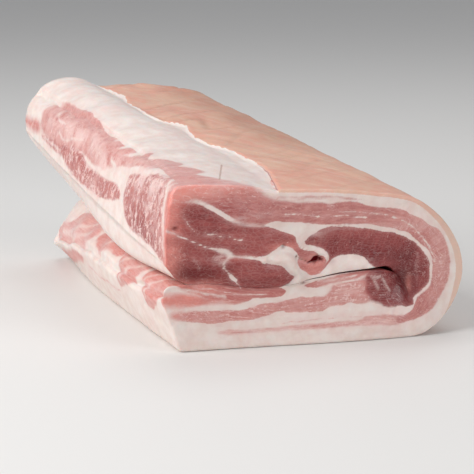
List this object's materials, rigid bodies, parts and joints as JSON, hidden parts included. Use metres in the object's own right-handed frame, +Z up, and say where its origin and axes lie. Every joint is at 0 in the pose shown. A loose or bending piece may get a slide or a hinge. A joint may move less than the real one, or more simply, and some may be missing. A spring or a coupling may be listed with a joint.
{
  "type": "pork belly slab",
  "caption": "Raw boneless pork belly with its skin on, folded once with the skin outside, lying on the board with layered fat and lean at its cut faces.",
  "frame": {"origin": "centre of the base, where the slab rests on the board", "axes": "+X from the free edges towards the fold, +Y from the front cut to the far cut, +Z up"},
  "size_m": [0.2184, 0.305, 0.1339],
  "materials": {
    "meat": "moist cut meat and fat, satin",
    "fat": "soft white fat and sinew, satin"
  },
  "bodies": {
    "root": {"pork_belly": "meat"}
  },
  "joints": []
}
